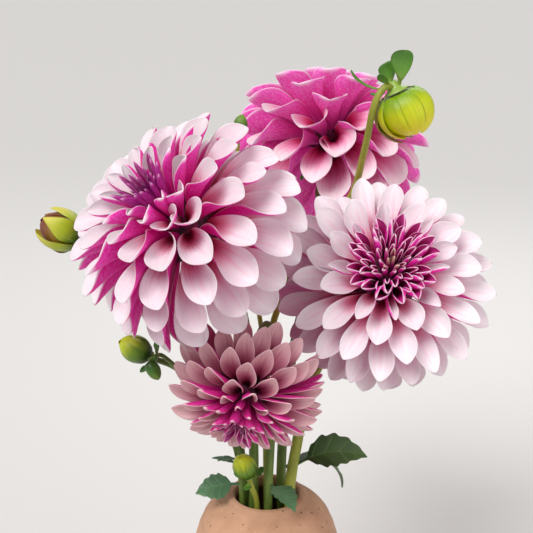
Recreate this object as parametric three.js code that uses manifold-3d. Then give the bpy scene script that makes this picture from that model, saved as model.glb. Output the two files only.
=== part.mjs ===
// Cut dahlias standing in water in a stoneware jar. Millimetres, +Z up, the jar's foot on Z = 0.
import * as THREE from 'three';
import { mergeVertices } from 'three/addons/utils/BufferGeometryUtils.js';
import Module from 'manifold-3d';

const wasm = await Module();
wasm.setup();

// ---------------------------------------------------------------- driving dimensions

const GAP = 0.35; // clearance between pieces that rest against each other
const BLADE = 1.2; // thickness of petals, bracts and leaves along the keel
const GOLDEN_ANGLE = 180 * (3 - Math.sqrt(5));

const JAR = {
  footRadius: 35,
  bodyRadius: 47.5,
  bodyHeight: 92, // where the body is widest
  shoulderRadius: 37,
  shoulderHeight: 137.5,
  lipRadius: 23.5,
  height: 150,
  mouthRadius: 19.8,
  wall: 4.5,
  floor: 7,
  sides: 24,
};
const WATER_LEVEL = 108;

// A head's petals spring from a small core. Angles are degrees from the head's axis: eye is where
// the closed florets end, back is where the last petals spring, curl is how far those bend further
// back, and cup is half the turn of an open petal's cross-section.
const HEADS = {
  left: {
    centre: [-44.5, -19, 325], axis: [-0.54, -0.4, 0.74], reach: 67, core: 19, spin: 0,
    florets: 30, petals: 82, eye: 20, back: 124, curl: 26, width: 10.5, cup: 26,
  },
  right: {
    centre: [69, 6, 284], axis: [0.03, -0.77, 0.64], reach: 64, core: 19, spin: 20,
    florets: 50, petals: 70, eye: 30, back: 120, curl: 24, width: 10, cup: 26,
  },
  back: {
    centre: [42, 123, 342], axis: [0.2, 0.54, 0.82], reach: 66, core: 18, spin: -5,
    florets: 20, petals: 68, eye: 20, back: 132, curl: 34, width: 12, cup: 38,
  },
  low: {
    centre: [-11, -35, 236], axis: [-0.16, -0.79, -0.59], reach: 45, core: 14, spin: 0,
    florets: 28, petals: 58, eye: 26, back: 118, curl: 26, width: 7.2, cup: 34,
  },
};

// Where each stem stands in the mouth, seen from above, and its radius. Below the mouth the stems
// spread by this factor down to their ends.
const STEM_SPREAD = 1.75;
const STEM_END = 12;
const STRAIGHT_FROM = 116; // the stems are straight below this height

const STEMS = {
  left: { mouth: [-8, 0], radius: 3, way: [[-8, 6, 190], [-10, 15, 235], [-16, 6, 272]] },
  right: { mouth: [14, -3], radius: 3.3, way: [[19, 2, 185], [26, 14, 216], [50, 40, 243]] },
  back: { mouth: [9, 9], radius: 3, way: [[12, 22, 200], [22, 48, 250], [40, 86, 286]] },
  low: { mouth: [1, -8], radius: 2.6, way: [[3, 2, 190], [5, 11, 220], [5, 11, 245], [0, 1, 260]] },
  topBud: {
    mouth: [0, 14], radius: 2.1,
    way: [
      [0, 27, 205], [3, 36, 243], [22, 58, 284], [40, 65, 304], [53, 60, 324], [58, 45, 352],
    ],
    hook: [[57.5, 46.8, 348.5], [60, 37, 368], [61.5, 33, 380], [64, 32.5, 388.5], [68.5, 34.5, 394]],
  },
  leftBud: { mouth: [-13, 9], radius: 2.1, way: [[-22, 18, 195], [-50, 33, 240], [-88, 43, 278], [-106, 42, 296]] },
  lowBud: { mouth: [-15, -3], radius: 1.9, way: [[-20, 0, 185], [-38, 6, 214], [-55, 6, 231]] },
  nearBud: { mouth: [-6, -11], radius: 1.7, way: [[-9, -13, 161]] },
};

const BUDS = {
  top: { centre: [81, 38, 379], axis: [0.42, -0.08, -0.9], length: 28.8, radius: 17.8, ridges: 8 },
  left: { centre: [-124, 40, 306], axis: [-0.86, -0.05, 0.5], length: 29, radius: 11.5, ridges: 7 },
  low: { centre: [-77, 0, 245], axis: [-0.78, -0.1, 0.5], length: 22, radius: 8.5, ridges: 6 },
  near: { centre: [-13, -16, 176], axis: [-0.25, -0.3, 0.92], length: 18, radius: 7.5, ridges: 6 },
};

// Thin side shoots, each ending in a small green bud that is one with its stalk.
const SHOOTS = {
  hanging: {
    way: [[-50, 6, 226], [-57, 0, 237], [-63, -6, 244], [-68.5, -9.4, 242]],
    radius: 1.3,
    bud: { centre: [-66, -10, 236], axis: [0.5, -0.1, -0.85], length: 13, radius: 4.6, ridges: 5 },
  },
  hidden: {
    way: [[0.6, 30.5, 220], [-6, 40, 262], [-14, 52, 312], [-18, 59, 348], [-17, 61, 362]],
    radius: 1.5,
    bud: { centre: [-16, 62, 367], axis: [0.15, 0, 0.98], length: 13, radius: 4.8, ridges: 5 },
  },
};

const LOOKS = {
  stoneware: new THREE.MeshStandardMaterial({ color: 0xb88d6f, roughness: 0.75, metalness: 0 }),
  water: new THREE.MeshStandardMaterial({ color: 0xdfe8e4, roughness: 0.05, metalness: 0 }),
  petal: new THREE.MeshStandardMaterial({ color: 0xefb3cb, roughness: 0.6, metalness: 0 }),
  deepPetal: new THREE.MeshStandardMaterial({ color: 0xd75fa4, roughness: 0.6, metalness: 0 }),
  duskPetal: new THREE.MeshStandardMaterial({ color: 0xb04a83, roughness: 0.6, metalness: 0 }),
  stem: new THREE.MeshStandardMaterial({ color: 0x56752e, roughness: 0.55, metalness: 0 }),
  bud: new THREE.MeshStandardMaterial({ color: 0xb5c41f, roughness: 0.5, metalness: 0 }),
};

// ---------------------------------------------------------------- vectors and solids

const UP = new THREE.Vector3(0, 0, 1);
const radians = THREE.MathUtils.degToRad;
const { lerp, smoothstep } = THREE.MathUtils;

function vector(numbers) {
  return new THREE.Vector3(...numbers);
}

function along(start, direction, distance) {
  return start.clone().addScaledVector(direction, distance);
}

// A closed geometry as a solid that can be joined and cut.
function solid(geometry) {
  const bare = geometry.clone();
  bare.deleteAttribute('normal');
  bare.deleteAttribute('uv');
  const merged = mergeVertices(bare, 1e-4);
  const index = merged.index.array;
  const corners = [];
  for (let i = 0; i < index.length; i += 3) {
    const [a, b, c] = [index[i], index[i + 1], index[i + 2]];
    if (a !== b && b !== c && c !== a) corners.push(a, b, c);
  }
  const vertProperties = new Float32Array(merged.attributes.position.array);
  return new wasm.Manifold(new wasm.Mesh({ numProp: 3, vertProperties, triVerts: new Uint32Array(corners) }));
}

function join(bodies) {
  return bodies.reduce((sum, body) => sum.add(body));
}

function piece(name, body, look) {
  const { vertProperties, triVerts } = body.getMesh();
  const geometry = new THREE.BufferGeometry();
  geometry.setAttribute('position', new THREE.BufferAttribute(vertProperties, 3));
  geometry.setIndex(new THREE.BufferAttribute(triVerts, 1));
  const mesh = new THREE.Mesh(geometry, look);
  mesh.name = name;
  return mesh;
}

// Turns a geometry made along +Y so that +Y follows the axis, and moves its origin to the place.
function stand(geometry, place, axis) {
  const turn = new THREE.Quaternion().setFromUnitVectors(new THREE.Vector3(0, 1, 0), axis);
  return geometry.applyQuaternion(turn).translate(place.x, place.y, place.z);
}

function turned(profile, sides) {
  return new THREE.LatheGeometry(profile.map(([radius, height]) => new THREE.Vector2(radius, height)), sides);
}

function tube(points, radius, { sides = 6, steps = 10 } = {}) {
  const path = new THREE.CatmullRomCurve3(points, false, 'centripetal');
  const corners = [];
  for (let i = 0; i < sides; i++) {
    const angle = (2 * Math.PI * i) / sides;
    corners.push(new THREE.Vector2(radius * Math.cos(angle), radius * Math.sin(angle)));
  }
  return solid(new THREE.ExtrudeGeometry(new THREE.Shape(corners), { steps, extrudePath: path }));
}

// ---------------------------------------------------------------- blades: petals, bracts, leaves

// The four points of a blade's cross-section: both margins, and the keel on face and reverse.
function ringOf({ at, side, face, width, roll }) {
  const radius = width / roll;
  const spread = radius * Math.sin(roll);
  const middle = along(at, face, radius * (1 - Math.cos(roll)));
  return [
    along(middle, side, -spread),
    along(at, face, BLADE / 2),
    along(middle, side, spread),
    along(at, face, -BLADE / 2),
  ];
}

// A closed blade from a pointed root through rings of four to a point, split alike on both faces.
function blade(root, sections, tip) {
  const points = [root, ...sections.map(ringOf).flat(), tip.at];
  const faces = [];
  for (let corner = 1; corner <= 4; corner++) {
    const next = (corner % 4) + 1;
    faces.push([0, next, corner]);
    for (let low = 0; low < 4 * (sections.length - 1); low += 4) {
      const [a, b, c, d] = [corner + low, next + low, next + low + 4, corner + low + 4];
      const fromKeel = corner % 2 === 0;
      faces.push(fromKeel ? [a, b, c] : [a, b, d], fromKeel ? [a, c, d] : [b, c, d]);
    }
    const last = 4 * (sections.length - 1);
    faces.push([corner + last, next + last, points.length - 1]);
  }
  const geometry = new THREE.BufferGeometry().setFromPoints(points);
  geometry.setIndex(faces.flat());
  return solid(geometry);
}

// Half width along a petal, 1 at its widest.
function petalOutline(u) {
  return 1.58 * u ** 0.85 * (1 - u ** 4) ** 0.62;
}

// The same for a bract with a narrow stalk and a round end.
function spoonOutline(u) {
  return 1.61 * u ** 1.5 * Math.sqrt(1 - u ** 6);
}

// A petal, or a bract, in the plane of the axis and a radial direction. It starts at a distance from
// the centre, heads off at an angle from the axis, bends further from it and may be twisted.
function petal({ centre, axis, radial, start, angle, bend, length, width, rolls, stations, root, ...shape }) {
  const { twist = 0, outline = petalOutline } = shape;
  const across = radial.clone().cross(axis);
  const section = (u) => {
    const heading = angle + bend * u;
    const outward = start * Math.sin(angle) + (length * (Math.cos(angle) - Math.cos(heading))) / bend;
    const upward = start * Math.cos(angle) + (length * (Math.sin(heading) - Math.sin(angle))) / bend;
    const at = along(along(centre, radial, outward), axis, upward);
    const inward = radial.clone().multiplyScalar(-Math.cos(heading)).addScaledVector(axis, Math.sin(heading));
    const lean = twist * smoothstep(u, 0, 0.4);
    const side = across.clone().multiplyScalar(Math.cos(lean)).addScaledVector(inward, Math.sin(lean));
    const face = inward.multiplyScalar(Math.cos(lean)).addScaledVector(across, -Math.sin(lean));
    const roll = lerp(rolls.root, rolls.tip, smoothstep(u, 0, 0.6));
    return { at, side, face, width: width * outline(u), roll };
  };
  const foot = along(along(centre, radial, root * Math.sin(angle)), axis, root * Math.cos(angle));
  return blade(foot, stations.map(section), section(1));
}

function floret({ centre, direction, root, waist, tip, width }) {
  const shape = new THREE.OctahedronGeometry(1);
  const position = shape.attributes.position;
  for (let i = 0; i < position.count; i++) {
    const y = position.getY(i);
    const reach = y > 0 ? tip - waist : waist - root;
    position.setXYZ(i, position.getX(i) * width, y * reach, position.getZ(i) * width);
  }
  return solid(stand(shape, along(centre, direction, waist), direction));
}

// ---------------------------------------------------------------- heads, buds and stalks

// Axes across a head's axis, from which the turns of its petals are counted.
function frameOf(head) {
  const axis = vector(head.axis).normalize();
  const first = UP.clone().cross(axis).normalize();
  const second = axis.clone().cross(first);
  const radialAt = (degrees) => {
    const angle = radians(degrees + head.spin);
    return first.clone().multiplyScalar(Math.cos(angle)).addScaledVector(second, Math.sin(angle));
  };
  return { centre: vector(head.centre), axis, radialAt };
}

function flatBack(head) {
  return 0.62 * head.core;
}

function coreOf(head, { centre, axis }) {
  const { core } = head;
  const back = flatBack(head);
  const profile = [[0, -back], [0.78 * core, -back], [core, 0], [0.78 * core, 0.62 * core], [0, core]];
  return solid(stand(turned(profile, 10), centre, axis));
}

function headOf(head) {
  const frame = frameOf(head);
  const { centre, axis, radialAt } = frame;
  const { reach, core, florets, petals } = head;
  const bodies = [coreOf(head, frame)];
  for (let i = 0; i < florets; i++) {
    const tilt = head.eye * Math.sqrt((i + 0.5) / florets);
    const radial = radialAt(i * GOLDEN_ANGLE);
    const direction = along(radial.multiplyScalar(Math.sin(radians(tilt))), axis, Math.cos(radians(tilt)));
    const tip = reach * lerp(0.62, 0.72, tilt / head.eye);
    bodies.push(floret({ centre, direction, root: 0.6 * core, waist: 0.8 * tip, tip, width: 0.036 * reach }));
  }
  for (let i = 0; i < petals; i++) {
    const place = (i + 0.5) / petals;
    const grown = smoothstep(place, 0, 0.2);
    const angle = lerp(head.eye + 3, head.back, place ** 0.92) + 1.2 * Math.sin(12.9898 * i);
    const full = reach * lerp(0.74, 1, smoothstep(place, 0, 0.4));
    bodies.push(petal({
      centre,
      axis,
      radial: radialAt((florets + i) * GOLDEN_ANGLE + 2 * Math.sin(7.233 * i)),
      start: 0.85 * core,
      root: 0.55 * core,
      angle: radians(angle),
      bend: radians(lerp(8, head.curl, place)),
      length: (full - 0.85 * core) * (1 + 0.03 * Math.sin(4.7 * i)),
      width: head.width * lerp(0.42, 1, grown),
      rolls: { root: radians(72), tip: radians(lerp(72, head.cup, grown)) },
      stations: place < 0.29 ? [0.3, 0.64, 0.87] : [0.33, 0.78],
    }));
  }
  return join(bodies);
}

// The green cup behind a head, with bracts bent back along the stem.
function calyx(head, stemRadius) {
  const { centre, axis, radialAt } = frameOf(head);
  const { core } = head;
  const top = along(centre, axis, -flatBack(head) - GAP);
  const profile = [[0, -0.7 * core], [stemRadius, -0.7 * core], [0.6 * core, -0.12 * core], [0.6 * core, 0], [0, 0]];
  const bodies = [solid(stand(turned(profile, 7), top, axis))];
  const count = 5;
  for (let i = 0; i < count; i++) {
    bodies.push(petal({
      centre: along(top, axis, -0.15 * core),
      axis,
      radial: radialAt((360 * i) / count),
      start: 0.35 * core,
      root: 0.1 * core,
      angle: radians(118),
      bend: radians(30),
      length: 0.75 * core,
      width: 0.16 * core,
      rolls: { root: radians(40), tip: radians(25) },
      stations: [0.5],
    }));
  }
  return join(bodies);
}

// Lower points of a stem: from its end in the water, straight up through the mouth.
function stemFoot({ mouth: [x, y] }) {
  const at = (height) => {
    const spread = lerp(STEM_SPREAD, 1, (height - STEM_END) / (JAR.height - STEM_END));
    return new THREE.Vector3(x * spread, y * spread, height);
  };
  return [at(STEM_END), at(STRAIGHT_FROM), at(JAR.height)];
}

function stemTube(stem, end, options) {
  return tube([...stemFoot(stem), ...stem.way.map(vector), ...end], stem.radius, options);
}

function flowerStalk(name, options) {
  const head = HEADS[name];
  const { centre, axis } = frameOf(head);
  const back = flatBack(head) + GAP;
  const neck = [1.3, 0.4].map((distance) => along(centre, axis, -back - distance * head.core));
  return join([stemTube(STEMS[name], neck, options), calyx(head, 1.3 * STEMS[name].radius)]);
}

// A bud is a fat spindle, ridged where its wrapped petals meet, flat where it meets its stalk.
function budOf({ centre, axis, length, radius, ridges }) {
  const shape = new THREE.SphereGeometry(1, 2 * ridges, 7);
  const { position, uv } = shape.attributes;
  for (let i = 0; i < position.count; i++) {
    const ridge = Math.round(uv.getX(i) * 2 * ridges) % 2 ? 1 : 0.9;
    const height = Math.max(position.getY(i), -0.86);
    const wide = ridge * radius * (1 - 0.12 * height);
    position.setXYZ(i, position.getX(i) * wide, (height * length) / 2, position.getZ(i) * wide);
  }
  return solid(stand(shape, vector(centre), vector(axis).normalize()));
}

// The green cup under a bud, with bracts given by their turn, angle, bend, length, width and twist.
function budCup(bud, bracts) {
  const axis = vector(bud.axis).normalize();
  const { radialAt } = frameOf({ ...bud, spin: 0 });
  const top = along(vector(bud.centre), axis, -0.43 * bud.length - GAP);
  const wide = 0.42 * bud.radius;
  const profile = [[0, -0.4 * bud.radius], [0.2 * bud.radius, -0.4 * bud.radius], [wide, -1.2], [wide, 0], [0, 0]];
  const bodies = [solid(stand(turned(profile, 7), top, axis))];
  for (const [turn, angle, bend, length, width, twist = 0] of bracts) {
    bodies.push(petal({
      centre: along(top, axis, -2),
      axis,
      radial: radialAt(turn),
      start: (twist ? 0.2 : 0.8) * wide,
      root: 0.2 * wide,
      angle: radians(angle),
      bend: radians(bend),
      length,
      width,
      rolls: { root: radians(35), tip: radians(35) },
      stations: twist ? [0.3, 0.6, 0.88] : [0.45, 0.8],
      twist: radians(twist),
      outline: twist ? spoonOutline : petalOutline,
    }));
  }
  return join(bodies);
}

function budStalk(stem, bud, bracts, options) {
  const axis = vector(bud.axis).normalize();
  const neck = along(vector(bud.centre), axis, -0.43 * bud.length - GAP - 2.5);
  if (!stem.hook) return join([stemTube(stem, [neck], options), budCup(bud, bracts)]);
  const hook = tube([...stem.hook.map(vector), neck], stem.radius, { steps: 9 });
  return join([stemTube(stem, [], options), hook, budCup(bud, bracts)]);
}

function shoot({ way, radius, bud }) {
  return join([tube(way.map(vector), radius, { sides: 5, steps: 6 }), budOf(bud)]);
}

// A toothed leaf. It leaves its stem towards a compass heading, rises at a pitch and droops.
function leaf({ from, heading, pitch, droop, length, width, tilt = 0, stalk = 0.2, teeth = 5 }) {
  const forward = new THREE.Vector3(Math.cos(radians(heading)), Math.sin(radians(heading)), 0);
  const across = forward.clone().cross(UP);
  const start = vector(from);
  const bend = -radians(droop);
  const section = (u, spread) => {
    const rise = radians(pitch) + bend * u;
    const ahead = (length * (Math.sin(rise) - Math.sin(radians(pitch)))) / bend;
    const high = (length * (Math.cos(radians(pitch)) - Math.cos(rise))) / bend;
    const flat = UP.clone().multiplyScalar(Math.cos(rise)).addScaledVector(forward, -Math.sin(rise));
    const lean = radians(tilt) * smoothstep(u, 0, 0.4);
    const side = across.clone().multiplyScalar(Math.cos(lean)).addScaledVector(flat, Math.sin(lean));
    const face = flat.multiplyScalar(Math.cos(lean)).addScaledVector(across, -Math.sin(lean));
    return { at: along(along(start, forward, ahead), UP, high), side, face, width: spread, roll: radians(24) };
  };
  const sections = [section(0.5 * stalk, 1.1), section(stalk, 1.2)];
  for (let tooth = 0; tooth < teeth; tooth++) {
    const step = (1 - stalk) / (teeth + 0.6);
    const peak = stalk + step * (tooth + 0.7);
    const outline = Math.sin(Math.PI * ((peak - stalk) / (1 - stalk)) ** 0.75);
    sections.push(section(peak, width * outline), section(peak + 0.3 * step, 0.8 * width * outline));
  }
  return blade(start, sections, section(1, 0));
}

// ---------------------------------------------------------------- jar and water

function jarOutside() {
  return [
    [JAR.footRadius - 2, 0],
    [JAR.footRadius, 2],
    [JAR.footRadius + 5, 30],
    [JAR.bodyRadius - 2, 64],
    [JAR.bodyRadius, JAR.bodyHeight],
    [JAR.bodyRadius - 1.8, 112],
    [JAR.bodyRadius - 5.4, 127],
    [JAR.shoulderRadius, JAR.shoulderHeight],
    [JAR.shoulderRadius - 7, JAR.height - 6],
    [JAR.lipRadius + 2, JAR.height - 3],
    [JAR.lipRadius, JAR.height - 0.6],
  ];
}

function jarInside() {
  const { wall } = JAR;
  return [
    [JAR.footRadius - wall - 2, JAR.floor],
    [JAR.footRadius - wall, JAR.floor + 2],
    [JAR.footRadius + 5 - wall, 30],
    [JAR.bodyRadius - 2 - wall, 64],
    [JAR.bodyRadius - wall, JAR.bodyHeight],
    [JAR.bodyRadius - 1.8 - wall, 110],
    [JAR.bodyRadius - 5.4 - wall, 124],
    [JAR.shoulderRadius - wall, JAR.shoulderHeight - wall],
    [JAR.mouthRadius, JAR.height - 7],
    [JAR.mouthRadius, JAR.height - 1],
  ];
}

function jar() {
  const lip = [JAR.mouthRadius + 1.4, JAR.height];
  const profile = [[0, 0], ...jarOutside(), lip, ...jarInside().reverse(), [0, JAR.floor]];
  return solid(stand(turned(profile, JAR.sides), new THREE.Vector3(), UP));
}

function water() {
  const wetted = jarInside().filter(([, height]) => height < WATER_LEVEL);
  const profile = [
    [0, JAR.floor + GAP],
    ...wetted.map(([radius, height]) => [radius - GAP, Math.max(height, JAR.floor + GAP)]),
    [JAR.bodyRadius - 1.7 - JAR.wall - GAP, WATER_LEVEL],
    [0, WATER_LEVEL],
  ];
  let body = solid(stand(turned(profile, JAR.sides), new THREE.Vector3(), UP));
  for (const stem of Object.values(STEMS)) {
    const [foot, bend] = stemFoot(stem);
    const direction = bend.clone().sub(foot).normalize();
    const sides = 10;
    const radius = (stem.radius + GAP) / Math.cos(Math.PI / sides);
    const length = 2 * foot.distanceTo(bend) + 4 * JAR.floor;
    const hole = new THREE.CylinderGeometry(radius, radius, length, sides);
    body = body.subtract(solid(stand(hole, bend, direction)));
  }
  return body;
}

// ---------------------------------------------------------------- assembly

const stalks = {
  left: flowerStalk('left'),
  right: flowerStalk('right'),
  back: flowerStalk('back'),
  low: flowerStalk('low', { steps: 16 }),
  topBud: budStalk(STEMS.topBud, BUDS.top, [
    [86, 132, 14, 22, 7, 85],
    [270, 178, -8, 14.5, 6.3, 75],
    [270, 112, 62, 24, 2.2],
    [200, 135, 20, 10, 3],
  ], { steps: 12 }),
  leftBud: budStalk(STEMS.leftBud, BUDS.left, [
    [0, 102, -66, 13, 4],
    [120, 102, -66, 13, 4],
    [240, 102, -66, 13, 4],
  ]),
  lowBud: budStalk(STEMS.lowBud, BUDS.low, [
    [20, 102, -60, 10, 3.5],
    [140, 102, -60, 10, 3.5],
    [260, 102, -60, 10, 3.5],
  ]),
  nearBud: budStalk(STEMS.nearBud, BUDS.near, [
    [60, 102, -60, 9, 3],
    [180, 102, -60, 9, 3],
    [300, 102, -60, 9, 3],
  ]),
};

const leaves = {
  right: [leaf({ from: [16.5, -1, 168], heading: 2, pitch: 38, droop: 62, length: 48, width: 11, tilt: -48 })],
  back: [leaf({ from: [9, 11, 158], heading: 14, pitch: 46, droop: 138, length: 57, width: 8 })],
  low: [leaf({ from: [1.4, -6, 158], heading: 300, pitch: 20, droop: 50, length: 32, width: 8 })],
  lowBud: [
    leaf({ from: [-15.6, -2.6, 157], heading: 192, pitch: 10, droop: 34, length: 29, width: 9, tilt: 40 }),
    leaf({ from: [-17.2, -1.8, 170], heading: 170, pitch: 25, droop: 30, length: 17, width: 3.4, teeth: 3 }),
    leaf({ from: [-17.4, -1.6, 173], heading: 205, pitch: 30, droop: 40, length: 14, width: 3.6, teeth: 3 }),
  ],
};

const group = new THREE.Group();
group.add(piece('jar', jar(), LOOKS.stoneware));
group.add(piece('water', water(), LOOKS.water));
group.add(piece('bloom_left', headOf(HEADS.left), LOOKS.petal));
group.add(piece('bloom_right', headOf(HEADS.right), LOOKS.petal));
group.add(piece('bloom_back', headOf(HEADS.back), LOOKS.deepPetal));
group.add(piece('bloom_low', headOf(HEADS.low), LOOKS.duskPetal));
group.add(piece('stalk_left', stalks.left, LOOKS.stem));
group.add(piece('stalk_right', join([stalks.right, ...leaves.right]), LOOKS.stem));
group.add(piece('stalk_back', join([stalks.back, ...leaves.back]), LOOKS.stem));
group.add(piece('stalk_low', join([stalks.low, ...leaves.low]), LOOKS.stem));
group.add(piece('stalk_top_bud', join([stalks.topBud, shoot(SHOOTS.hidden)]), LOOKS.stem));
group.add(piece('stalk_left_bud', stalks.leftBud, LOOKS.stem));
group.add(piece('stalk_low_bud', join([stalks.lowBud, shoot(SHOOTS.hanging), ...leaves.lowBud]), LOOKS.stem));
group.add(piece('stalk_near_bud', stalks.nearBud, LOOKS.stem));
group.add(piece('bud_top', budOf(BUDS.top), LOOKS.bud));
group.add(piece('bud_left', budOf(BUDS.left), LOOKS.bud));
group.add(piece('bud_low', budOf(BUDS.low), LOOKS.bud));
group.add(piece('bud_near', budOf(BUDS.near), LOOKS.bud));

export default group;
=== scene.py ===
"""Cut dahlias standing in water in a stoneware jar. Metres, +Z up, the jar's foot on Z = 0."""
import math

import bpy
import numpy as np
from mathutils import Matrix, Vector


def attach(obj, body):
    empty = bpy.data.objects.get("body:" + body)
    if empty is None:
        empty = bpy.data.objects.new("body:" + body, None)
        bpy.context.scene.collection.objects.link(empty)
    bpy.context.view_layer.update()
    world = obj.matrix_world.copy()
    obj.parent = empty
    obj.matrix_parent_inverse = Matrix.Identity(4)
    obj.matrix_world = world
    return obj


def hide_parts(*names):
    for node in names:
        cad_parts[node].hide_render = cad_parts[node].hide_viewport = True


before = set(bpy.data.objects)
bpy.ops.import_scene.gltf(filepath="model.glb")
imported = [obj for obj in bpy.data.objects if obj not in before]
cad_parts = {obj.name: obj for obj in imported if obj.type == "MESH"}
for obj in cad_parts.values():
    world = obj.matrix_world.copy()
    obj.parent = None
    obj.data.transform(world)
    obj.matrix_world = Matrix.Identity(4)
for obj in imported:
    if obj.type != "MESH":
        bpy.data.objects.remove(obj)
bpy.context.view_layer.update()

MM = 0.001
DEGREE = math.pi / 180
GOLDEN_ANGLE = 180 * (3 - math.sqrt(5))
UP = Vector((0, 0, 1))

# -------- driving dimensions, in millimetres

GAP = 0.35  # between a head or a bud and the cup under it

# A head's petals and florets spring from a small core, one golden angle after another from spin.
# Angles are degrees from the head's axis: eye is where the closed florets end, back is where the last
# petals spring, curl is how far those bend further back, and cup is half the turn of an open petal's
# cross-section. Width is half a petal's width laid flat, and quill that of the florets, in the middle
# of the eye and at its edge. Young is the share of the petals that are still growing. A petal's
# channel leans to one side by turned, and by sag more at the head's lowest side, and lop makes one of
# its margins fuller. Opens is where along it a petal starts to open. Shape is how its outline tapers
# to its root, stays full and comes to a point, and tube is the same for the florets. Mouth is how far
# the outermost florets are rolled, and messy how unevenly they stand.
HEADS = {
    "left": dict(
        centre=(-44.5, -19, 323.5), axis=(-0.53, -0.42, 0.735), reach=67.5, core=19, spin=-5, florets=30,
        petals=98, eye=19, back=128, curl=26, width=13.2, cup=44, young=0.24, turned=-8, sag=29, lop=0,
        opens=0.3, shape=(0.72, 3.5, 0.64), quill=(2.2, 4.4), mouth=136, tube=(0.5, 4, 0.85), messy=10,
    ),
    "right": dict(
        centre=(69, 6, 284), axis=(0.03, -0.77, 0.64), reach=64, core=19, spin=20, florets=60,
        petals=86, eye=36, back=120, curl=24, width=10, cup=42, young=0.14, turned=-8, sag=22, lop=0,
        opens=0.2, shape=(0.7, 3.2, 0.76), quill=(2.8, 8.2), mouth=121, tube=(0.85, 6, 0.74), messy=30,
    ),
    "back": dict(
        centre=(42, 123, 342), axis=(0.2, 0.54, 0.82), reach=66, core=18, spin=-5, florets=20,
        petals=84, eye=20, back=132, curl=34, width=15.5, cup=50, young=0.2, turned=18, sag=0, lop=0.04,
        opens=0.2, shape=(0.6, 3.8, 0.6), quill=(3.0, 6.0), mouth=128, tube=(0.5, 6, 0.85), messy=10,
    ),
    "low": dict(
        centre=(-11, -35, 236), axis=(-0.16, -0.79, -0.59), reach=45, core=14, spin=0, florets=24,
        petals=92, eye=28, back=118, curl=26, width=7.6, cup=46, young=0.4, turned=-6, sag=0, lop=0,
        opens=-0.1, shape=(0.6, 3.1, 0.74), quill=(3, 7.4), mouth=122, tube=(0.6, 2.8, 0.9), messy=24,
    ),
}

GROWN_SHARE = 0.74  # where a head's florets stop and its petals start, as a share of its reach
HEART_FLAT = 0.62  # where a head's core is cut flat towards its stalk, as a share of the core
LOWEST_TURN = -85  # a head's petals at this turn hang lowest
SPOON_WIDTH = 5  # a bract wider than this has a narrow stalk and a round end
CUP_TOP = 0.43  # where a bud meets its cup, as a share of its length
CUP_STEM = 2.5  # how far below its top a stem ends in a cup
CUP_BRACTS = 2  # how far below its top a cup's bracts spring
BUD_SEAT = 0.86  # where a bud is cut flat towards its stalk, as a share of its half length
BUD_CLOSED = 0.97  # how near its tip a bud's scales come, in the same way
BUD_LOOKS = {"top": "bud", "left": "bud_opening", "low": "bud_green", "near": "bud_green"}
JAR_HEIGHT = 150
STEM_SPREAD = 1.75  # how much wider the stems stand at their ends than in the mouth
STEM_END = 12  # how far above the foot of the jar they end
STRAIGHT_FROM = 116  # the stems are straight below this height
LIGHT_STEMS = ("right", "top_bud", "near_bud")

# Where each stem stands in the mouth, seen from above, its radius and the points it grows through.
STEMS = {
    "left": dict(mouth=(-8, 0), radius=3, way=[(-8, 6, 190), (-10, 15, 235), (-16, 6, 272)]),
    "right": dict(mouth=(14, -3), radius=3.3, way=[(19, 2, 185), (26, 14, 216), (50, 40, 243)]),
    "back": dict(mouth=(9, 9), radius=3, way=[(12, 22, 200), (22, 48, 250), (40, 86, 286)]),
    "low": dict(mouth=(1, -8), radius=2.6, way=[(3, 2, 190), (5, 11, 220), (5, 11, 245), (0, 1, 260)]),
    "top_bud": dict(
        mouth=(0, 14), radius=2.1,
        way=[(0, 27, 205), (3, 36, 243), (22, 58, 284), (40, 65, 304), (53, 60, 324), (58, 45, 352),
             (60, 37, 368), (61.5, 33, 380), (64, 32.5, 388.5), (68.5, 34.5, 394)],
    ),
    "left_bud": dict(
        mouth=(-13, 9), radius=2.1,
        way=[(-22, 18, 195), (-50, 33, 240), (-88, 43, 278), (-106, 42, 296)],
    ),
    "low_bud": dict(mouth=(-15, -3), radius=1.9, way=[(-20, 0, 185), (-38, 6, 214), (-55, 6, 231)]),
    "near_bud": dict(mouth=(-6, -11), radius=1.7, way=[(-9, -13, 161)]),
}

# Bracts are given by their turn, angle, bend, length, width and twist.
BUDS = {
    "top": dict(
        centre=(81, 38, 379), axis=(0.42, -0.08, -0.9), length=28.8, radius=17.8, scales=9,
        bracts=[(86, 132, 14, 22, 7, -85), (270, 178, -8, 14.5, 6.3, -75), (270, 112, 62, 24, 2.2, 0),
                (200, 135, 20, 10, 3, 0), (250, 96, 30, 9, 3, 0)],
    ),
    "left": dict(
        centre=(-124, 40, 306), axis=(-0.86, -0.05, 0.5), length=29, radius=11.5, scales=7,
        bracts=[(turn, 102, -66, 13, 4, 0) for turn in (0, 120, 240)],
    ),
    "low": dict(
        centre=(-77, 0, 245), axis=(-0.78, -0.1, 0.5), length=22, radius=8.5, scales=6,
        bracts=[(turn, 102, -60, 10, 3.5, 0) for turn in (20, 140, 260)],
    ),
    "near": dict(
        centre=(-13, -16, 176), axis=(-0.25, -0.3, 0.92), length=18, radius=7.5, scales=6,
        bracts=[(turn, 102, -60, 9, 3, 0) for turn in (60, 180, 300)],
    ),
}

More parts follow.
